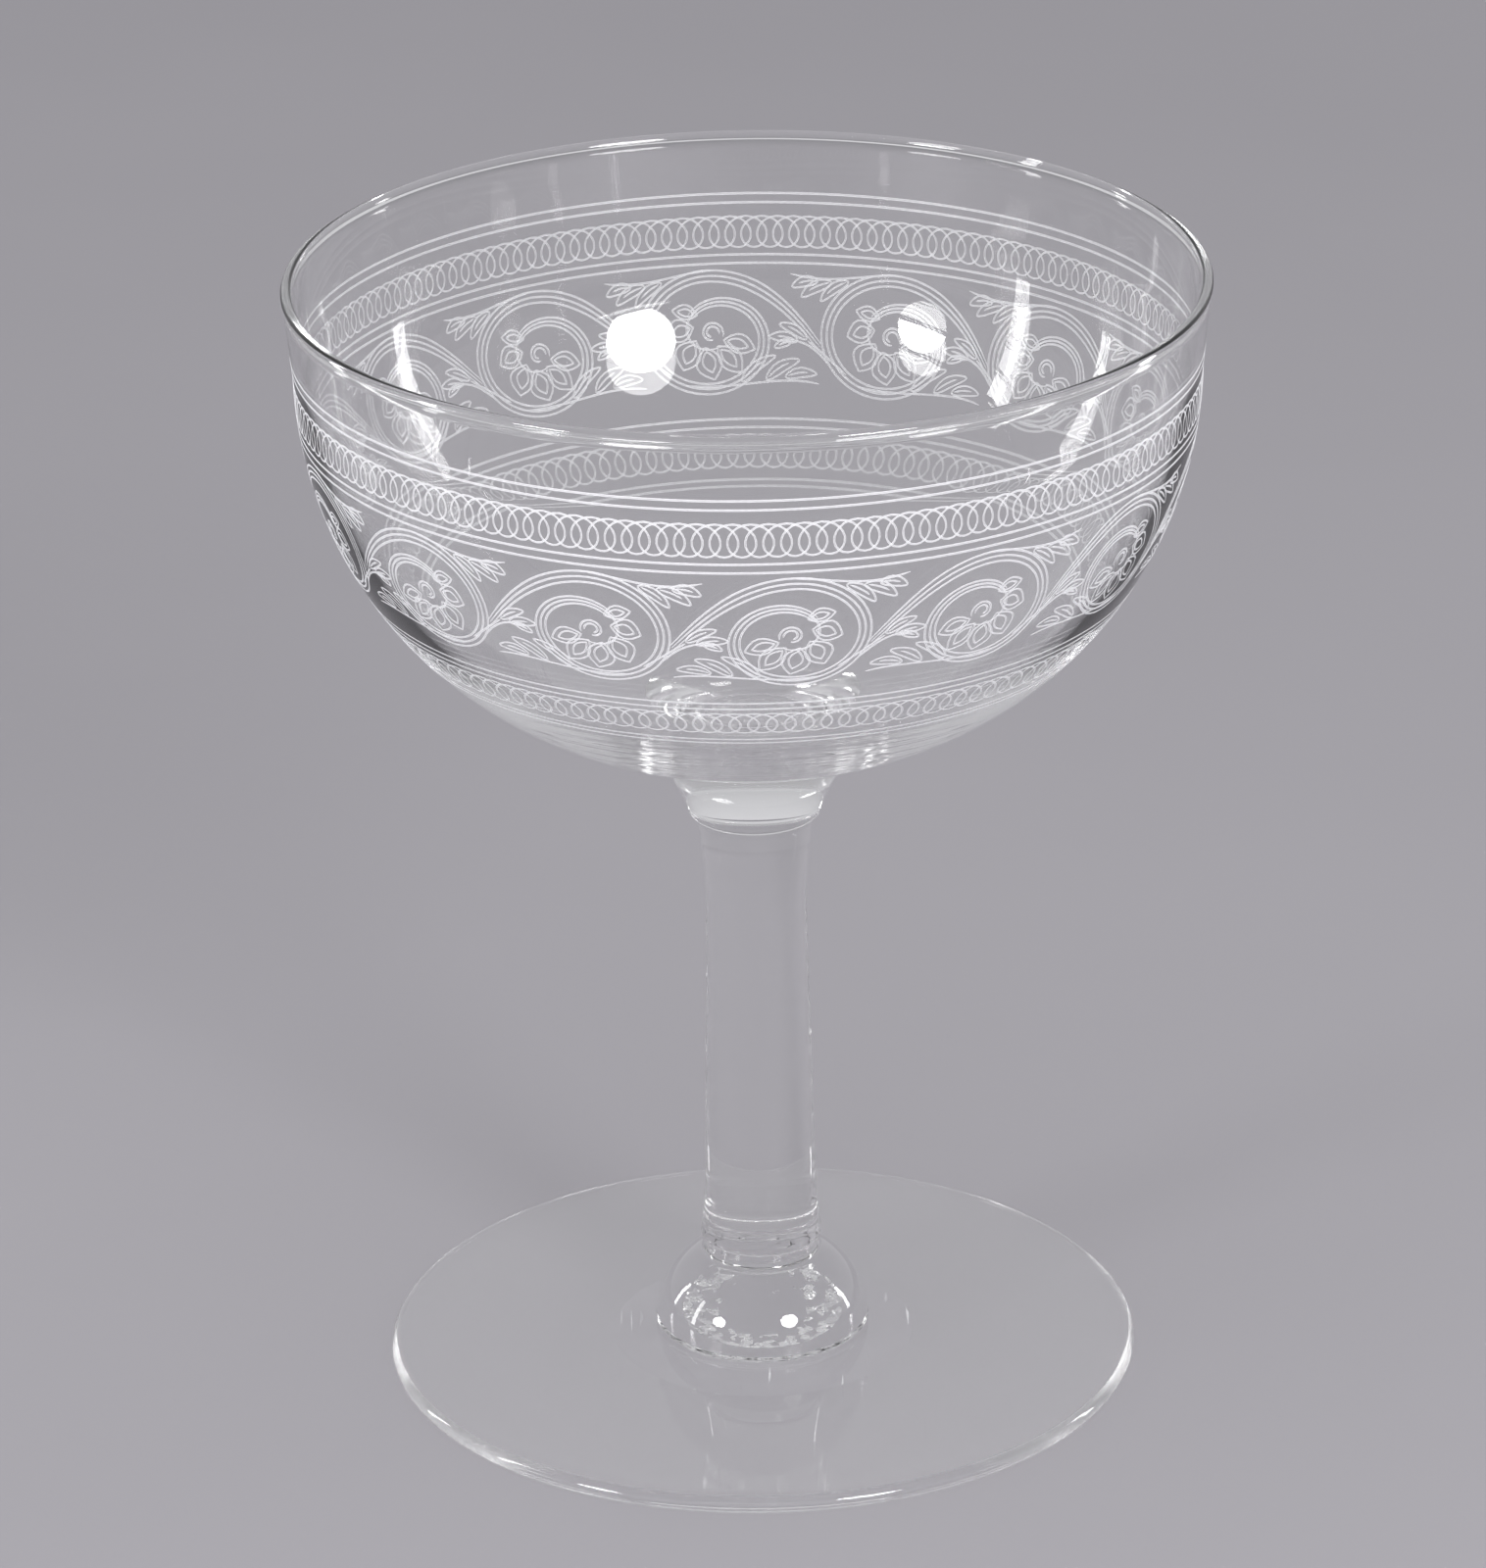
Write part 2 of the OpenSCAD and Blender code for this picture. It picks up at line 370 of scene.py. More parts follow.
print("belly height:", round(belly_z, 2), "inside floor:", round(float(bowl_section[-1, 1]), 2), "mm")

# %% [markdown]
# ## Etching as ridges on the wall
# The ornament was drawn with needles through wax and bitten by acid, which leaves fine frosted lines. A
# bump map would vanish at the outline and would not catch light, so each line is a real ridge, a few
# hundredths of a millimetre high. A line is drawn on the unrolled wall, as a turn round the axis and a
# drop down from the rim, and is then wrapped onto the glass.

# %% Wrapping strokes onto the bowl
RIDGE_FOOT = 0.004
RIDGE_TOP = 0.035
ACROSS = np.array([-1.0, 0.0, 1.0])
RISE = np.array([RIDGE_FOOT, RIDGE_TOP, RIDGE_FOOT])
lean_length = math.hypot(1, LEAN)
lean_drop = (rim_z - belly_z) * lean_length


def wall_at(drop):
    """Radius, height and outward slope of the outer wall at a drop below the rim, measured along the wall.
    Down to the belly the wall is straight, and below it the drop is an angle on the side's arc."""
    above = drop < lean_drop
    angle = (drop - lean_drop) / side_radius
    height = np.where(above, rim_z - drop / lean_length, belly_z - side_radius * np.sin(angle))
    radius = np.where(
        above, BELLY_RADIUS + LEAN * (height - belly_z), BELLY_OFFSET + side_radius * np.cos(angle)
    )
    out = np.where(above, 1 / lean_length, np.cos(angle))
    up = np.where(above, -LEAN / lean_length, -np.sin(angle))
    return radius, height, out, up


def strokes(turn, drop, half_width, closed):
    """Ridges for many strokes at once. turn and drop hold one stroke a row. The way across a stroke is its
    own direction turned by a right angle, in true lengths on the wall, and three points across, low, high
    and low, are carried along it. Returns points in mm, side faces, end faces, each point's place across
    and how level its stroke runs there, from 0 for upright to 1."""
    half_width = np.broadcast_to(half_width, turn.shape)
    radius = wall_at(drop)[0]
    if closed:
        turn_step = np.roll(turn, -1, axis=1) - np.roll(turn, 1, axis=1)
        turn_step = (turn_step + np.pi) % (2 * np.pi) - np.pi
        drop_step = np.roll(drop, -1, axis=1) - np.roll(drop, 1, axis=1)
    else:
        turn_step = np.gradient(turn, axis=1)
        drop_step = np.gradient(drop, axis=1)
    side_step = radius * turn_step
    length = np.hypot(side_step, drop_step)
    reach = half_width[..., None] * ACROSS
    turn_at = turn[..., None] - (drop_step / length / radius)[..., None] * reach
    drop_at = drop[..., None] + (side_step / length)[..., None] * reach
    radius, height, out, up = wall_at(drop_at)
    radius = radius + out * RISE
    points = np.stack([radius * np.sin(turn_at), -radius * np.cos(turn_at), height + up * RISE], axis=-1)

    index = np.arange(turn.size * len(ACROSS)).reshape(*turn.shape, len(ACROSS))
    next_across = np.roll(index, -1, axis=2)
    ahead = np.roll(index, -1, axis=1)
    ahead_across = np.roll(next_across, -1, axis=1)
    sides = np.stack([index, next_across, ahead_across, ahead], axis=-1)
    ends = np.concatenate([index[:, 0, ::-1], index[:, -1]])
    if closed:
        ends = ends[:0]
    else:
        sides = sides[:, :-1]
    across = np.broadcast_to(ACROSS, index.shape)
    level = np.broadcast_to(np.abs(side_step / length)[..., None], index.shape)
    return points.reshape(-1, 3), sides.reshape(-1, 4), ends, across.reshape(-1), level.reshape(-1)


etched_pieces = []


def etched(name, *groups):
    """One piece out of several groups of strokes. The place across and the level of each point are kept
    as attributes, for the finish."""
    points, sides, ends, across, level = zip(*groups)
    starts = np.cumsum([0] + [len(part) for part in points])
    all_sides = np.vstack([part + start for part, start in zip(sides, starts)])
    all_ends = np.vstack([part + start for part, start in zip(ends, starts)])
    piece = new_piece(name, np.vstack(points) * MM, all_sides.tolist() + all_ends.tolist())
    for title, values in (("across", across), ("level", level)):
        kept = piece.data.attributes.new(title, "FLOAT", "POINT")
        kept.data.foreach_set("value", np.concatenate(values).astype(np.float32))
    piece.data.set_sharp_from_angle(angle=SHARP)
    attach(piece, "root")
    etched_pieces.append(piece)
    print(name, "faces:", len(piece.data.polygons))


# %% [markdown]
# ## Border lines and looped bands
# Four pairs of thin lines frame the ornament. Between the upper two pairs and between the lower two runs
# a band of loops, which a needle draws in one unbroken line while the glass turns under it. That line is
# a trochoid: a steady step round the bowl plus a small ellipse.

# %% Border lines
LINE_DROPS = np.array([6.95, 7.95, 13.75, 14.7, 31.85, 32.8, 38.6, 39.4])
LINE_HALF = 0.13
LINE_POINTS = 256
round_once = np.arange(LINE_POINTS) * (2 * np.pi / LINE_POINTS)
line_turns = np.repeat(round_once[None], len(LINE_DROPS), axis=0)
line_drops = np.repeat(LINE_DROPS[:, None], LINE_POINTS, axis=1)
etched("border_lines", strokes(line_turns, line_drops, LINE_HALF, closed=True))

# %% Looped bands
LOOP_POINTS = 20
LOOP_HALF = 0.105
LOOP_WIDTH = 2.1


def loop_band(name, count, middle, tall):
    """A trochoid round the bowl: with the phase p, the turn is p / count plus an ellipse's sideways part
    as an angle, and the drop is the middle plus the ellipse's part down the wall. The ellipse is about
    twice as wide as the step from loop to loop, so each loop crosses its neighbours twice."""
    phase = np.arange(count * LOOP_POINTS) * (2 * np.pi / LOOP_POINTS)
    turn = phase / count + LOOP_WIDTH * (np.pi / count) * np.sin(phase)
    drop = middle - tall / 2 * np.cos(phase)
    etched(name, strokes(turn[None], drop[None], LOOP_HALF, closed=True))


loop_band("upper_loops", count=168, middle=11.2, tall=3.5)
loop_band("lower_loops", count=132, middle=35.4, tall=3.6)

# %% [markdown]
# ## The running scroll
# The widest band is a running scroll, an old ornament of leafy stems that roll up round flowers. Fourteen
# equal units go round the bowl. In each, three parallel stems rise from the last unit, roll inwards in a
# spiral and close round a flower with a curled heart, and short sprays of leaves fill the corners. Leaves
# and petals are pointed ovals, so one formula draws them all from a base, a tip, a width and a bend. A leaf
# has a vein, and a petal has a second line inside its outline.

# %% Stems of one unit
UNITS = 14
SCROLL_DROP = 22.3
SCROLL_TURN = math.radians(5.3)
STEM_GAP = 0.62
SCROLL_HALF = 0.115
LEAF_HALF = 0.10
EYE_RADIUS = 1.7
ROLL_RADIUS = 4.9
ROLL_TURN = 0.9
ROLL_WIDE, ROLL_TALL = 1.08, 0.95
RISE_POINTS, ROLL_POINTS = 22, 76


def bend(a, b, c, d, count):
    """A cubic curve from a to d that sets out towards b and comes in from c, in mm on the flat wall."""
    share = np.linspace(0, 1, count)[:, None]
    keep = 1 - share
    a, b, c, d = (np.asarray(point, float) for point in (a, b, c, d))
    return keep ** 3 * a + 3 * keep ** 2 * share * b + 3 * keep * share ** 2 * c + share ** 3 * d


def spiral(turns, count):
    """Clockwise from the top, through so many turns, wider than it is tall. The radius is the eye's radius
    plus the roll's radius over one more than the sixth power of the turn: it stays wide for most of the
    first turn, falls quickly and then runs round the flower's eye."""
    turn = np.linspace(0, turns, count)
    radius = EYE_RADIUS + ROLL_RADIUS / (1 + (turn / ROLL_TURN) ** 6)
    angle = 2 * np.pi * turn
    return np.stack([ROLL_WIDE * radius * np.sin(angle), ROLL_TALL * radius * np.cos(angle)], axis=1)


def beside(path, distance):
    """A path moved to its left by a distance, which may change along it."""
    step = np.gradient(path, axis=0)
    left = np.stack([-step[:, 1], step[:, 0]], axis=1) / np.linalg.norm(step, axis=1)[:, None]
    return path + left * np.reshape(distance, (-1, 1))


roll_top = ROLL_TALL * (EYE_RADIUS + ROLL_RADIUS)
rising = bend((-12.1, -1.5), (-9.3, 1.7), (-5.6, roll_top), (0, roll_top), RISE_POINTS)
middle_stem = np.vstack([rising, spiral(1.6, ROLL_POINTS)[1:]])
outer_stem = np.vstack([rising, spiral(1.12, ROLL_POINTS)[1:]])
along_stem = np.linspace(0, 1, len(outer_stem))
# The stems start close together, part, and close up again towards the flower
spread = np.interp(along_stem, [0, 0.14, 0.7, 1], [0.45, 1, 0.9, 0.5]) * STEM_GAP
stems = np.stack([beside(outer_stem, spread), middle_stem, beside(outer_stem, -spread)])
print("stem length:", round(float(np.linalg.norm(np.diff(middle_stem, axis=0), axis=1).sum()), 1), "mm")

# %% Sprays, flower and heart of one unit
SPINE_POINTS, LEAF_POINTS, VEIN_POINTS, CURL_POINTS = 18, 20, 7, 26
VEIN_START, VEIN_END = 0.08, 0.72
HEART_SHIFT = -0.2
LOBE_FORM = (0.15, 1.2)
PETAL_FORM = (0.0, 2.1)
spines = np.stack([
    bend((-0.6, 6.9), (3.6, 6.7), (6.6, 5.2), (11.2, 6.4), SPINE_POINTS),
    bend((3.2, -5.6), (-2.5, -6.6), (-7.6, -4.6), (-12.3, -5.6), SPINE_POINTS),
    bend((-13.2, -3.4), (-11.6, -1.6), (-10.0, -0.6), (-8.0, -1.0), SPINE_POINTS),
    bend((4.6, -4.4), (6.2, -3.3), (7.4, -2.2), (9.2, -0.9), SPINE_POINTS),
])
LOBES = np.array([
    # base x, base y, tip x, tip y, half width, bend: the lobes of three sprays
    [8.3, 5.7, 11.0, 5.0, 0.56, 0.25],
    [6.8, 5.6, 10.0, 3.9, 0.60, 0.30],
    [5.0, 5.8, 7.9, 3.5, 0.54, 0.30],
    [-8.4, -4.9, -11.9, -4.5, 0.54, -0.30],
    [-6.2, -5.2, -9.9, -3.0, 0.60, -0.35],
    [-3.4, -5.4, -7.2, -2.6, 0.52, -0.35],
    [-10.6, -0.7, -7.6, 0.9, 0.50, 0.25],
    [-9.6, -0.9, -6.5, -0.5, 0.54, 0.20],
    [-8.9, -1.0, -7.1, -1.7, 0.40, 0.10],
])
PETALS = np.array([
    # the same six values for the petals that stand round the flower's eye
    [-1.5, -0.8, -4.9, -1.9, 1.05, -0.10],
    [-0.8, -1.5, -3.4, -4.4, 1.20, -0.10],
    [0.6, -1.6, -0.3, -5.1, 1.45, 0.10],
    [1.6, -0.8, 3.2, -3.9, 1.45, 0.20],
    [1.8, 0.7, 4.8, -0.2, 1.25, 0.20],
    [1.3, 2.0, 4.0, 2.7, 0.80, 0.10],
])


def leaf_frame(leaves):
    """Base, way along with its length, and way across of each leaf."""
    base = leaves[:, None, 0:2]
    along = leaves[:, None, 2:4] - base
    length = np.linalg.norm(along, axis=-1, keepdims=True)
    across = np.stack([-along[..., 1], along[..., 0]], axis=-1) / length
    return base, along, across


def leaf_outlines(leaves, form):
    """Closed outlines. With the angle q, the place along is (1 - cos q) / 2 and the place across is the half
    width times a power of sin q times (1 + full cos q). A leaf is fullest near its base where full is above
    zero and near its tip where it is below, and the higher the power, the more pointed its ends."""
    full, power = form
    base, along, across = leaf_frame(leaves)
    angle = np.arange(LEAF_POINTS) * (2 * np.pi / LEAF_POINTS)
    share = (1 - np.cos(angle)) / 2
    swell = np.sign(np.sin(angle)) * np.abs(np.sin(angle)) ** power * (1 + full * np.cos(angle))
    out = leaves[:, 4:5] * swell + leaves[:, 5:6] * np.sin(np.pi * share)
    return base + along * share[:, None] + across * out[..., None]


def inner_leaves(leaves, start, end, width):
    """Smaller leaves inside the given ones, from one share of the length to another, for a double line."""
    along = leaves[:, 2:4] - leaves[:, 0:2]
    return np.hstack([leaves[:, 0:2] + along * start, leaves[:, 0:2] + along * end, leaves[:, 4:6] * width])


def leaf_veins(leaves):
    """The middle line of each leaf, from near its base to short of its tip, with the leaf's own bend."""
    base, along, across = leaf_frame(leaves)
    share = np.linspace(VEIN_START, VEIN_END, VEIN_POINTS)
    return base + along * share[:, None] + across * (leaves[:, 5:6] * np.sin(np.pi * share))[..., None]


def curl(start_radius, end_radius, start, sweep):
    """A hook that winds clockwise about a point beside the flower's middle while its radius shrinks."""
    share = np.linspace(0, 1, CURL_POINTS)
    angle = np.radians(start - sweep * share)
    radius = start_radius + (end_radius - start_radius) * share
    return np.stack([radius * np.cos(angle) + HEART_SHIFT, radius * np.sin(angle)], axis=1)


hearts = np.stack([
    curl(start_radius=1.3, end_radius=0.75, start=200, sweep=300),
    curl(start_radius=0.85, end_radius=0.4, start=190, sweep=270),
])
inner_petals = inner_leaves(PETALS, start=0.12, end=0.78, width=0.5)
outlines = np.vstack([
    leaf_outlines(LOBES, LOBE_FORM),
    leaf_outlines(PETALS, PETAL_FORM),
    leaf_outlines(inner_petals, PETAL_FORM),
])
veins = leaf_veins(LOBES)
print("strokes of one unit:", len(stems), len(spines), len(hearts), len(outlines), len(veins))

# %% Fourteen units round the bowl
TAPER_RATE = 10
THIN_END = 0.33


def all_round(paths):
    """Repeat one unit's paths round the bowl: x becomes a turn about the axis and y a drop along the wall."""
    radius = float(wall_at(np.array(SCROLL_DROP))[0])
    unit_turn = SCROLL_TURN + np.arange(UNITS) * (2 * np.pi / UNITS)
    turn = unit_turn[:, None, None] + paths[None, ..., 0] / radius
    drop = np.broadcast_to(SCROLL_DROP - paths[None, ..., 1], turn.shape)
    return turn.reshape(-1, paths.shape[1]), drop.reshape(-1, paths.shape[1])


def tapered(count, half_width):
    """Half width along an open stroke, which thins out to a third at both ends."""
    share = np.linspace(0, 1, count)
    return half_width * np.clip(np.minimum(share, 1 - share) * TAPER_RATE + THIN_END, 0, 1)


etched(
    "scroll_frieze",
    strokes(*all_round(stems), tapered(stems.shape[1], SCROLL_HALF), closed=False),
    strokes(*all_round(spines), tapered(spines.shape[1], SCROLL_HALF), closed=False),
    strokes(*all_round(hearts), tapered(hearts.shape[1], SCROLL_HALF), closed=False),
    strokes(*all_round(outlines), LEAF_HALF, closed=True),
    strokes(*all_round(veins), tapered(veins.shape[1], LEAF_HALF), closed=False),
)

# %% [markdown]
# ## Finishes
# Clear glass is nearly all in its shader: full transmission, the index of crown glass and almost no
# roughness. What makes it look handled is what varies: a slow waviness left by shaping, faint smears, fine
# tool rings round the base of the bowl, and on the foot the scratches of use. One node group makes those
# masks, and bowl, stem, knop and foot each have their own amounts. The knop's underside also has the fine
# folds of a pinched seam, and the bubbles in its seat are made of the same folded glass. Three more
# finishes are not clear glass: the etching, the dull middle of the underside, and the fused faces, which
# let all light through.

# %% Helpers for nodes
GLASS_IOR = 1.52
# Places of the colour sockets on a Mix node for colours: two inputs and the output
MIX_A, MIX_B, MIX_OUT = 6, 7, 2


def new_group(name, inputs, outputs):
    """A node group with a Vector input, value inputs that start at the given values, and value outputs.
    Returns the group with its first and last node."""
    tree = bpy.data.node_groups.new(name, "ShaderNodeTree")
    tree.interface.new_socket(name="Vector", in_out="INPUT", socket_type="NodeSocketVector")
    for title, value in inputs.items():
        made = tree.interface.new_socket(name=title, in_out="INPUT", socket_type="NodeSocketFloat")
        made.default_value = value
    for title in outputs:
        tree.interface.new_socket(name=title, in_out="OUTPUT", socket_type="NodeSocketFloat")
    return tree, tree.nodes.new("NodeGroupInput"), tree.nodes.new("NodeGroupOutput")


def add_node(tree, kind, **values):
    """Add a node, setting its own properties by name and its inputs by name or place."""
    node = tree.nodes.new(kind)
    for name, value in values.pop("inputs", {}).items():
        node.inputs[name].default_value = value
    for name, value in values.items():
        setattr(node, name, value)
    return node


def wire(tree, links):
    """Link nodes: each link names a node and its output, then a node and its input."""
    for source, output, target, entry in links:
        tree.links.new(source.outputs[output], target.inputs[entry])


print("index of the glass:", GLASS_IOR)

# %% Group for handled glass
# Heights in metres at which the tool rings are gone and at which they are full
MARKS_GONE, MARKS_FULL = 0.084, 0.076


def handled_glass_group():
    """Smears raise the roughness in soft patches, and scratches are thin stretched streaks. Polish is the
    roughness of the clean glass between them. Marks are fine level rings, left by the shaping tool round the
    base of the bowl. The height, for a bump, is a slow wave plus the marks less the scratches."""
    amounts = {"Smear": 0.02, "Scratch": 0.0, "Marks": 0.0, "Polish": 0.01}
    tree, start, end = new_group("handled_glass", amounts, ["Roughness", "Height"])
    smear_noise = add_node(tree, "ShaderNodeTexNoise", inputs={
        "Scale": 55.0, "Detail": 4.0, "Roughness": 0.6,
    })
    smear_range = add_node(tree, "ShaderNodeMapRange", inputs={"From Min": 0.5, "From Max": 0.75})
    smear = add_node(tree, "ShaderNodeMath", operation="MULTIPLY")
    stretch = add_node(tree, "ShaderNodeMapping", inputs={
        "Rotation": (0.0, 0.0, 0.6), "Scale": (1600.0, 90.0, 500.0),
    })
    scratch_noise = add_node(tree, "ShaderNodeTexNoise", inputs={"Scale": 1.0, "Detail": 1.0})
    scratch_range = add_node(tree, "ShaderNodeMapRange", inputs={"From Min": 0.69, "From Max": 0.76})
    scratch = add_node(tree, "ShaderNodeMath", operation="MULTIPLY")
    rough = add_node(tree, "ShaderNodeMath", operation="ADD")
    dull = add_node(tree, "ShaderNodeMath", operation="ADD")
    wave_noise = add_node(tree, "ShaderNodeTexNoise", inputs={"Scale": 70.0, "Detail": 1.5})
    place = tree.nodes.new("ShaderNodeSeparateXYZ")
    rings = add_node(tree, "ShaderNodeTexNoise", noise_dimensions="1D", inputs={
        "Scale": 1500.0, "Detail": 2.0,
    })
    base = add_node(tree, "ShaderNodeMapRange", inputs={"From Min": MARKS_GONE, "From Max": MARKS_FULL})
    ring_depth = add_node(tree, "ShaderNodeMath", operation="MULTIPLY")
    marks = add_node(tree, "ShaderNodeMath", operation="MULTIPLY")
    wavy = add_node(tree, "ShaderNodeMath", operation="ADD")
    height = add_node(tree, "ShaderNodeMath", operation="SUBTRACT")
    wire(tree, [
        (start, "Vector", smear_noise, "Vector"),
        (smear_noise, "Fac", smear_range, "Value"),
        (smear_range, "Result", smear, 0),
        (start, "Smear", smear, 1),
        (start, "Vector", stretch, "Vector"),
        (stretch, "Vector", scratch_noise, "Vector"),
        (scratch_noise, "Fac", scratch_range, "Value"),
        (scratch_range, "Result", scratch, 0),
        (start, "Scratch", scratch, 1),
        (smear, "Value", rough, 0),
        (scratch, "Value", rough, 1),
        (rough, "Value", dull, 0),
        (start, "Polish", dull, 1),
        (start, "Vector", wave_noise, "Vector"),
        (start, "Vector", place, 0),
        (place, "Z", rings, "W"),
        (place, "Z", base, "Value"),
        (rings, "Fac", ring_depth, 0),
        (start, "Marks", ring_depth, 1),
        (ring_depth, "Value", marks, 0),
        (base, "Result", marks, 1),
        (wave_noise, "Fac", wavy, 0),
        (marks, "Value", wavy, 1),
        (wavy, "Value", height, 0),
        (scratch, "Value", height, 1),
        (dull, "Value", end, "Roughness"),
        (height, "Value", end, "Height"),
    ])
    return tree


handled_glass = handled_glass_group()
print("node group:", handled_glass.name)


# %% Group for etched lines
def etched_line_group():
    """The cover is the frosting of a line, and a fine grain makes it uneven. It is highest along the two
    edges and thinner in the middle, a painted highlight of a groove's bright rims, and lower on upright
    strokes, a painted shade of strokes that catch no lamp.
    Across runs from -1 to 1 over the line, and Level from 0 for an upright stroke to 1."""
    amounts = {"Across": 0.0, "Level": 0.0, "Middle": 0.36, "Edge": 0.75, "Upright_Shade": 0.55}
    tree, start, end = new_group("etched_line", amounts, ["Cover", "Height"])
    side = add_node(tree, "ShaderNodeMath", operation="ABSOLUTE")
    # Cover raised along both edges of a line: a painted highlight of a groove's bright rims
    edge = add_node(tree, "ShaderNodeMapRange", inputs={"From Min": 0.3, "From Max": 0.8})
    grain = add_node(tree, "ShaderNodeTexNoise", inputs={"Scale": 2600.0, "Detail": 2.0})
    uneven = add_node(tree, "ShaderNodeMapRange", inputs={"To Min": 0.72, "To Max": 1.15})
    # Upright strokes get less cover than level ones: a painted shade of strokes that catch no lamp
    upright_shade = add_node(tree, "ShaderNodeMapRange", inputs={"To Max": 1.0})
    frost_and_painted_light = add_node(tree, "ShaderNodeMath", operation="MULTIPLY")
    cover = add_node(tree, "ShaderNodeMath", operation="MULTIPLY", use_clamp=True)
    wire(tree, [
        (start, "Across", side, 0),
        (side, "Value", edge, "Value"),
        (start, "Middle", edge, "To Min"),
        (start, "Edge", edge, "To Max"),
        (start, "Vector", grain, "Vector"),
        (grain, "Fac", uneven, "Value"),
        (start, "Level", upright_shade, "Value"),
        (start, "Upright_Shade", upright_shade, "To Min"),
        (edge, "Result", frost_and_painted_light, 0),
        (upright_shade, "Result", frost_and_painted_light, 1),
        (frost_and_painted_light, "Value", cover, 0),
        (uneven, "Result", cover, 1),
        (cover, "Value", end, "Cover"),
        (grain, "Fac", end, "Height"),
    ])
    return tree


etched_line = etched_line_group()
print("node group:", etched_line.name)


# %% Clear glass
def new_finish(name):
    """A new material with its node tree and its Principled shader."""
    finish = bpy.data.materials.new(name)
    finish.use_nodes = True
    return finish, finish.node_tree, finish.node_tree.nodes["Principled BSDF"]


def let_light_through(tree, shader, faced, grazed):
    """Light that reaches a dull surface behind the glass goes straight on: the share faced of it where it
    meets the glass squarely, and grazed where it grazes it. So the floor and the etching are lit without
    the noise of bent light, and the thick pieces still draw a shadow."""
    path = tree.nodes.new("ShaderNodeLightPath")
    straight = add_node(tree, "ShaderNodeMath", operation="MAXIMUM")
    grazing = add_node(tree, "ShaderNodeLayerWeight", inputs={"Blend": 0.35})
    lost = add_node(tree, "ShaderNodeMix", data_type="RGBA")
    lost.inputs[MIX_A].default_value = (faced, faced, faced, 1)
    lost.inputs[MIX_B].default_value = (grazed, grazed, grazed, 1)
    clear = tree.nodes.new("ShaderNodeBsdfTransparent")
    either = tree.nodes.new("ShaderNodeMixShader")
    surface = tree.nodes["Material Output"]
    wire(tree, [
        (path, "Is Shadow Ray", straight, 0),
        (path, "Is Diffuse Ray", straight, 1),
        (grazing, "Facing", lost, 0),
        (lost, MIX_OUT, clear, "Color"),
        (straight, "Value", either, 0),
        (shader, "BSDF", either, 1),
        (clear, "BSDF", either, 2),
        (either, "Shader", surface, "Surface"),
    ])


def clear_glass(
    name, tint, faced, grazed, polish=0.01, smear=0.01, scratch=0.0, marks=0.0, depth=0.00003
):
    """Clear glass with its own tint, shares of light let through, polish, smears, scratches and tool marks,
    and the depth of its relief in metres."""
    finish, tree, shader = new_finish(name)
    shader.inputs["Base Color"].default_value = (tint, tint, tint, 1)
    shader.inputs["IOR"].default_value = GLASS_IOR
    shader.inputs["Transmission Weight"].default_value = 1
    place = tree.nodes.new("ShaderNodeTexCoord")
    handled = add_node(tree, "ShaderNodeGroup", node_tree=handled_glass)
    for socket_name, value in (("Polish", polish), ("Smear", smear), ("Scratch", scratch), ("Marks", marks)):
        handled.inputs[socket_name].default_value = value
    relief = add_node(tree, "ShaderNodeBump", inputs={"Strength": 1.0, "Distance": depth})
    wire(tree, [
        (place, "Object", handled, "Vector"),
        (handled, "Roughness", shader, "Roughness"),
        (handled, "Height", relief, "Height"),
        (relief, "Normal", shader, "Normal"),
    ])
    let_light_through(tree, shader, faced, grazed)
    return finish


# %% The knop's seam
# Heights in metres: how far the folds fade out, and one that lies above every face
FOLD_FADE = 0.0002
EVERYWHERE = 1.0


def pinched_glass(name, height, depth):
    """Clear glass whose lowest faces, below a height in metres, are full of the fine folds of a pinched seam.
    They are a fine noise on the bump, and turn the lamps into a ring of sparks."""
    finish = clear_glass(name, tint=0.99, faced=0.98, grazed=0.9)
    tree = finish.node_tree
    shader = tree.nodes["Principled BSDF"]
    place = tree.nodes.new("ShaderNodeTexCoord")
    level = tree.nodes.new("ShaderNodeSeparateXYZ")
    low = add_node(tree, "ShaderNodeMapRange", inputs={"From Min": height + FOLD_FADE, "From Max": height})
    folds = add_node(tree, "ShaderNodeTexNoise", inputs={"Scale": 900.0, "Detail": 3.0})
    deep = add_node(tree, "ShaderNodeMath", operation="MULTIPLY")
    relief = add_node(tree, "ShaderNodeBump", inputs={"Strength": 1.0, "Distance": depth})
    wire(tree, [
        (place, "Object", level, 0),
        (place, "Object", folds, "Vector"),
        (level, "Z", low, "Value"),
        (low, "Result", deep, 0),
        (folds, "Fac", deep, 1),
        (deep, "Value", relief, "Height"),
    ])
    tree.links.new(shader.inputs["Normal"].links[0].from_socket, relief.inputs["Normal"])
    wire(tree, [(relief, "Normal", shader, "Normal")])
    return finish


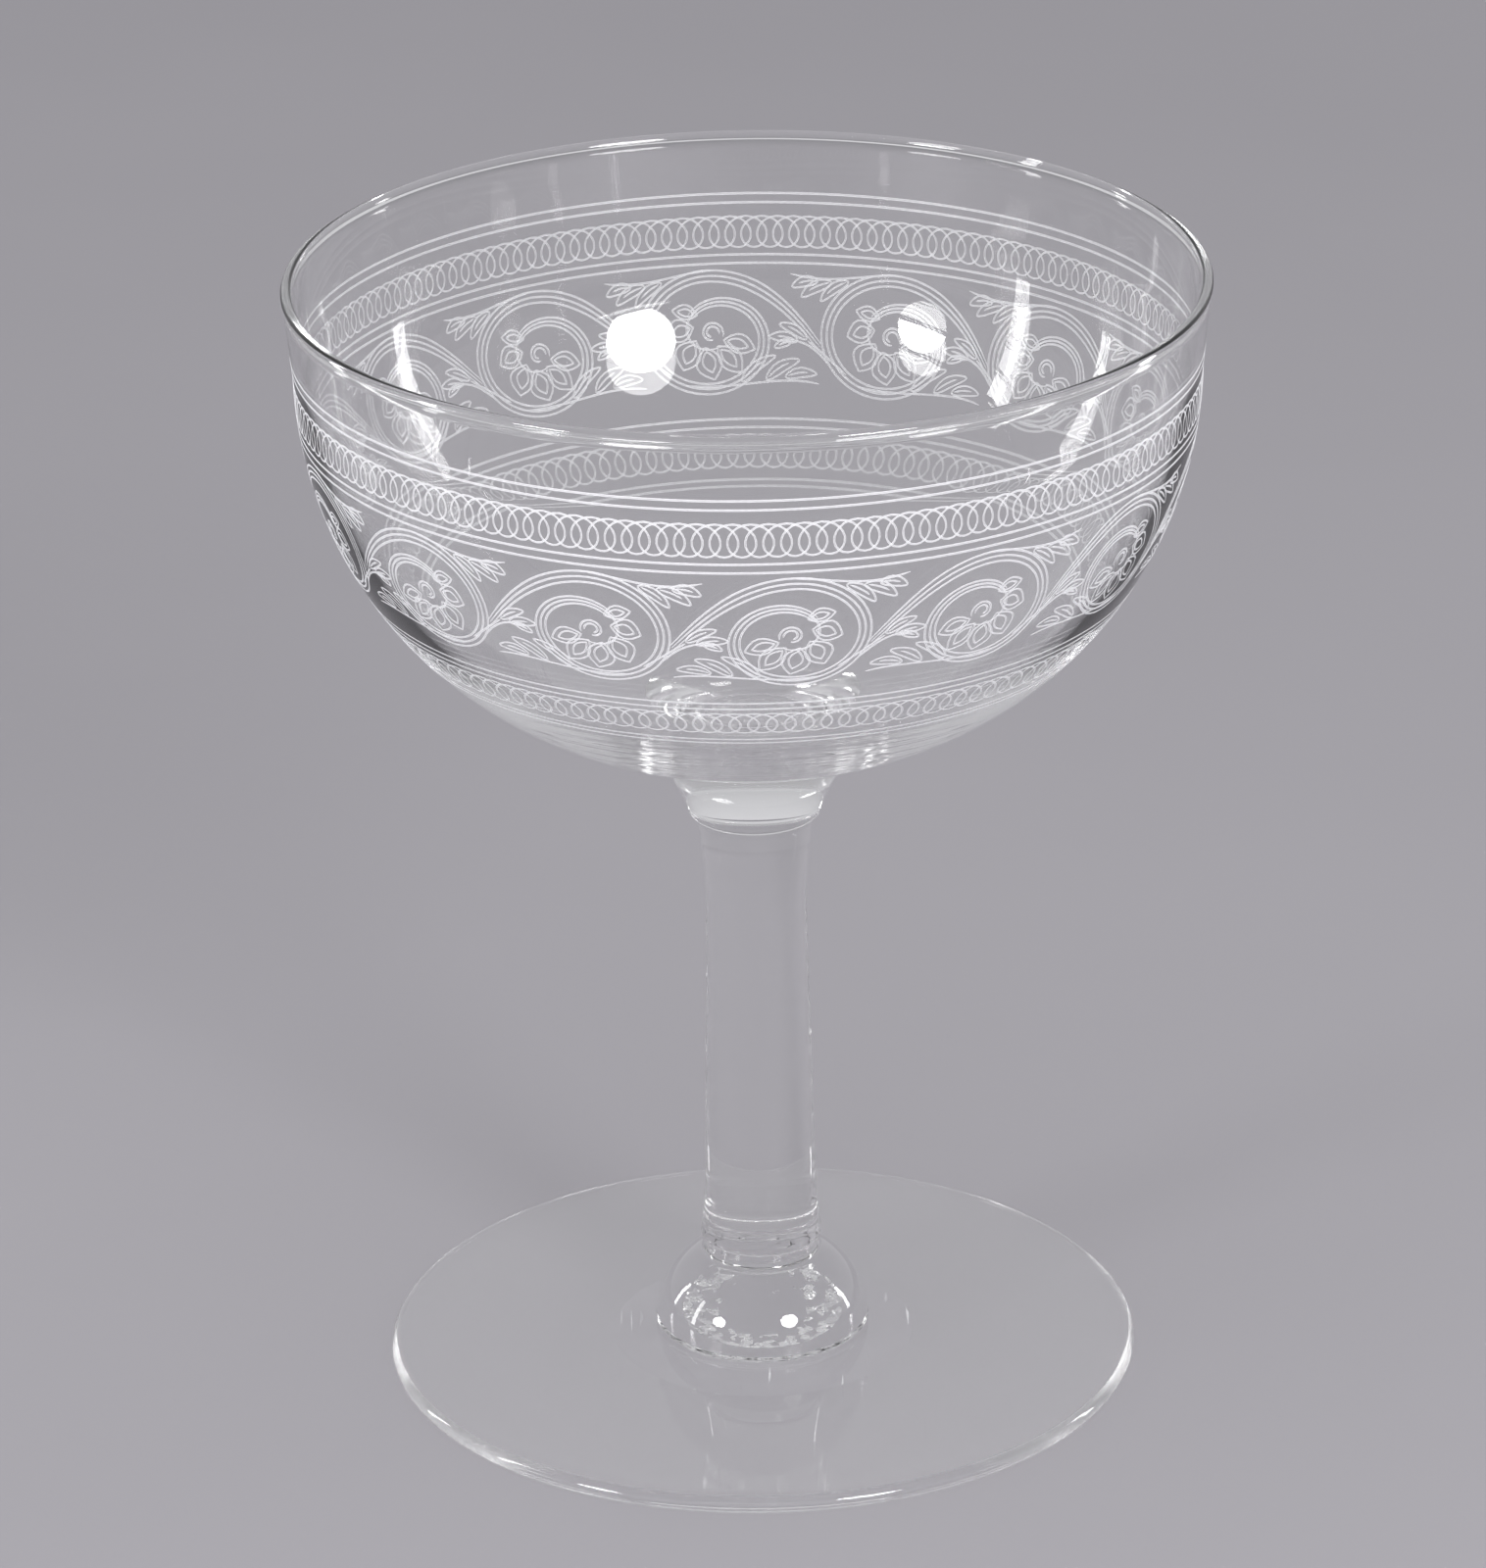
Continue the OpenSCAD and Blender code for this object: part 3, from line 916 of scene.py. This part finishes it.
def seam_sparks():
    """A ring of flat bubbles in the seam: folded glass that is there only where a noise, raised towards the
    outer side of the ring, passes a half. Between the bubbles the two pieces are fused."""
    finish = pinched_glass("seam_sparks", height=EVERYWHERE, depth=0.001)
    tree = finish.node_tree
    shader = tree.nodes["Principled BSDF"]
    place = tree.nodes.new("ShaderNodeTexCoord")
    distance = add_node(tree, "ShaderNodeVectorMath", operation="LENGTH")
    outer = add_node(tree, "ShaderNodeMapRange", inputs={
        "From Min": SEAM_INNER * MM, "From Max": SEAM_OUTER * MM, "To Min": -0.2, "To Max": 0.08,
    })
    noise = add_node(tree, "ShaderNodeTexNoise", inputs={"Scale": 1100.0, "Detail": 2.0})
    raised = add_node(tree, "ShaderNodeMath", operation="ADD")
    bubbles = add_node(tree, "ShaderNodeMapRange", inputs={"From Min": 0.5, "From Max": 0.54})
    wire(tree, [
        (place, "Object", distance, 0),
        (distance, "Value", outer, "Value"),
        (place, "Object", noise, "Vector"),
        (outer, "Result", raised, 0),
        (noise, "Fac", raised, 1),
        (raised, "Value", bubbles, "Value"),
        (bubbles, "Result", shader, "Alpha"),
    ])
    return finish


def fused_face():
    """The place where two pieces are one glass: nothing is seen there."""
    finish, _, shader = new_finish("fused_face")
    shader.inputs["Alpha"].default_value = 0
    shader.inputs["IOR"].default_value = GLASS_IOR
    return finish


# %% Wear and etching
def worn_underside():
    """The middle of the face that the glass stands on is dull, so it mirrors nothing and shows only as a thin
    film, denser along its scratches and in its smears."""
    finish, tree, shader = new_finish("worn_underside")
    shader.inputs["Base Color"].default_value = (0.88, 0.88, 0.9, 1)
    shader.inputs["Roughness"].default_value = 0.6
    shader.inputs["IOR"].default_value = GLASS_IOR
    place = tree.nodes.new("ShaderNodeTexCoord")
    handled = add_node(tree, "ShaderNodeGroup", node_tree=handled_glass)
    for socket_name, value in (("Polish", 0.02), ("Smear", 0.04), ("Scratch", 0.3)):
        handled.inputs[socket_name].default_value = value
    wire(tree, [
        (place, "Object", handled, "Vector"),
        (handled, "Roughness", shader, "Alpha"),
    ])
    return finish


def frosted_line():
    """Etched glass: white, dull, and partly see-through by the cover of the etching."""
    finish, tree, shader = new_finish("frosted_line")
    shader.inputs["Base Color"].default_value = (0.92, 0.92, 0.94, 1)
    shader.inputs["Roughness"].default_value = 0.42
    shader.inputs["IOR"].default_value = GLASS_IOR
    place = tree.nodes.new("ShaderNodeTexCoord")
    across = add_node(tree, "ShaderNodeAttribute", attribute_name="across")
    level = add_node(tree, "ShaderNodeAttribute", attribute_name="level")
    frost_and_painted_light = add_node(tree, "ShaderNodeGroup", node_tree=etched_line)
    relief = add_node(tree, "ShaderNodeBump", inputs={"Strength": 0.6, "Distance": 0.00003})
    wire(tree, [
        (place, "Object", frost_and_painted_light, "Vector"),
        (across, "Fac", frost_and_painted_light, "Across"),
        (level, "Fac", frost_and_painted_light, "Level"),
        # The cover is the frosting with a painted rim highlight and a painted shade on upright strokes in it
        (frost_and_painted_light, "Cover", shader, "Alpha"),
        (frost_and_painted_light, "Height", relief, "Height"),
        (relief, "Normal", shader, "Normal"),
    ])
    return finish


# %% Finishes on their pieces
SEAM_ROOM = 0.00005
seam = fused_face()
bowl_glass = clear_glass(
    "bowl_glass", tint=0.99, faced=0.94, grazed=0.5, polish=0.02, smear=0.015, marks=2.5, depth=0.00002
)
stem_glass = clear_glass("stem_glass", tint=0.985, faced=0.85, grazed=0.3)
knop_glass = pinched_glass("knop_glass", height=knop_under * MM + SEAM_ROOM, depth=0.0008)
foot_glass = clear_glass(
    "foot_glass", tint=0.985, faced=0.99, grazed=0.97, polish=0.03, smear=0.03, scratch=0.12
)
for piece, finish in (
    (foot, foot_glass), (base_knop, knop_glass), (lower_collar, stem_glass),
    (stem, stem_glass), (upper_collar, stem_glass), (bowl, bowl_glass),
):
    piece.data.materials.append(finish)
    piece.data.materials.append(seam)
foot.data.materials.append(worn_underside())
base_knop.data.materials.append(seam_sparks())
frosted = frosted_line()
for piece in etched_pieces:
    piece.data.materials.append(frosted)
print("finishes:", [m.name for m in bpy.data.materials if m.users and m.use_nodes])

# %% [markdown]
# ## Floor, world and lamps
# The floor is a plain pale grey sheet. The outline of clear glass shows only where it bends something
# darker or lighter into view, so the world is brightest at the horizon, and the edges of the bowl, the
# stem and the foot gather that light into bright lines. Two round lamps stand in front, where the bright
# spots on the far wall come from, and tall narrow lamps at the sides draw the upright streaks. Two soft
# lamps behind light the etching on the far side, and a wide one overhead gives the plain light level. These
# three are hidden from the glass, so that they draw no spots of their own, and light linking keeps the
# strips and the soft lamps behind off the floor, so that it stays plain from every side.

# %% Floor
FLOOR_RADIUS = 3.0
FLOOR_GAP = 0.08
FLOOR_SIDES = 96
FLOOR_COLOUR = (0.40, 0.387, 0.412, 1)
FLOOR_SHADE = (0.37, 0.358, 0.383, 1)
floor_angle = np.arange(FLOOR_SIDES) * (2 * np.pi / FLOOR_SIDES)
floor_edge = np.stack([np.sin(floor_angle), -np.cos(floor_angle), 0 * floor_angle], axis=1) * FLOOR_RADIUS
floor = new_piece("floor", floor_edge - np.array([0, 0, FLOOR_GAP * MM]), [list(range(FLOOR_SIDES))])
floor_finish, floor_tree, floor_shader = new_finish("floor_paper")
floor_shader.inputs["Roughness"].default_value = 0.75
floor_place = floor_tree.nodes.new("ShaderNodeTexCoord")
mottle = add_node(floor_tree, "ShaderNodeTexNoise", inputs={"Scale": 9.0, "Detail": 5.0})
paper = add_node(floor_tree, "ShaderNodeMix", data_type="RGBA")
paper.inputs[MIX_A].default_value = FLOOR_SHADE
paper.inputs[MIX_B].default_value = FLOOR_COLOUR
wire(floor_tree, [
    (floor_place, "Object", mottle, "Vector"),
    (mottle, "Fac", paper, 0),
    (paper, MIX_OUT, floor_shader, "Base Color"),
])
floor.data.materials.append(floor_finish)
print("floor radius:", FLOOR_RADIUS, "m")

# %% World
HORIZON_LIGHT = 0.7
SKY_LIGHT = 0.45
world = bpy.data.worlds.new("studio")
world.use_nodes = True
bpy.context.scene.world = world
sky = world.node_tree
way = sky.nodes.new("ShaderNodeTexCoord")
split = sky.nodes.new("ShaderNodeSeparateXYZ")
fade = add_node(sky, "ShaderNodeMapRange", inputs={
    "From Min": 0.0, "From Max": 0.8, "To Min": HORIZON_LIGHT, "To Max": SKY_LIGHT,
})
backdrop = sky.nodes["Background"]
backdrop.inputs["Color"].default_value = (0.97, 0.97, 1.0, 1)
wire(sky, [
    (way, "Generated", split, 0),
    (split, "Z", fade, "Value"),
    (fade, "Result", backdrop, "Strength"),
])
print("world light:", HORIZON_LIGHT, "at the horizon,", SKY_LIGHT, "above")

# %% Lamps
LAMP_TARGET = Vector((0, 0, 0.1))


def lamp(name, side, rise, distance, width, height, power, shape="RECTANGLE"):
    """An area lamp that faces the bowl: side is degrees to the right of the front, rise is above level."""
    data = bpy.data.lights.new(name, "AREA")
    data.shape = shape
    data.size = width
    data.size_y = height
    data.energy = power
    thing = bpy.data.objects.new(name, data)
    side, rise = math.radians(side), math.radians(rise)
    away = Vector((
        math.cos(rise) * math.sin(side), -math.cos(rise) * math.cos(side), math.sin(rise)
    ))
    thing.location = LAMP_TARGET + away * distance
    thing.rotation_mode = "QUATERNION"
    thing.rotation_quaternion = (-away).to_track_quat("-Z", "Y")
    thing.visible_camera = False
    bpy.context.scene.collection.objects.link(thing)
    print(name, "at", [round(v, 2) for v in thing.location], "power", power)
    return thing


lamp("front_right_lamp", side=31, rise=21, distance=1.2, width=0.40, height=0.40, power=9.0, shape="DISK")
lamp("front_left_lamp", side=-50, rise=14, distance=1.2, width=0.30, height=0.30, power=6.0, shape="DISK")
strips = [
    lamp("left_strip", side=-80, rise=8, distance=0.6, width=0.05, height=0.34, power=0.6),
    lamp("left_back_strip", side=-113, rise=6, distance=0.6, width=0.04, height=0.28, power=0.5),
    lamp("right_back_strip", side=108, rise=4, distance=0.6, width=0.05, height=0.28, power=0.6),
]
fills = [
    lamp("back_left_fill", side=-140, rise=30, distance=1.2, width=0.5, height=0.5, power=9.0, shape="DISK"),
    lamp("back_right_fill", side=140, rise=30, distance=1.2, width=0.5, height=0.5, power=9.0, shape="DISK"),
]
left_dark = bpy.data.collections.new("left_dark")
left_dark.objects.link(floor)
left_dark.collection_objects[0].light_linking.link_state = "EXCLUDE"
for one in strips + fills:
    one.light_linking.receiver_collection = left_dark
overhead = lamp("overhead_lamp", side=-10, rise=80, distance=1.4, width=1.2, height=1.2, power=4.5)
for unseen in [*fills, overhead]:
    unseen.visible_glossy = False
    unseen.visible_transmission = False

# %% Light paths
cycles = bpy.context.scene.cycles
cycles.max_bounces = 64
cycles.blur_glossy = 0
cycles.transmission_bounces = 32
cycles.glossy_bounces = 32
cycles.transparent_max_bounces = 48
bpy.context.scene.view_settings.view_transform = "Standard"
print("bounces:", cycles.max_bounces, "through clear glass:", cycles.transmission_bounces)
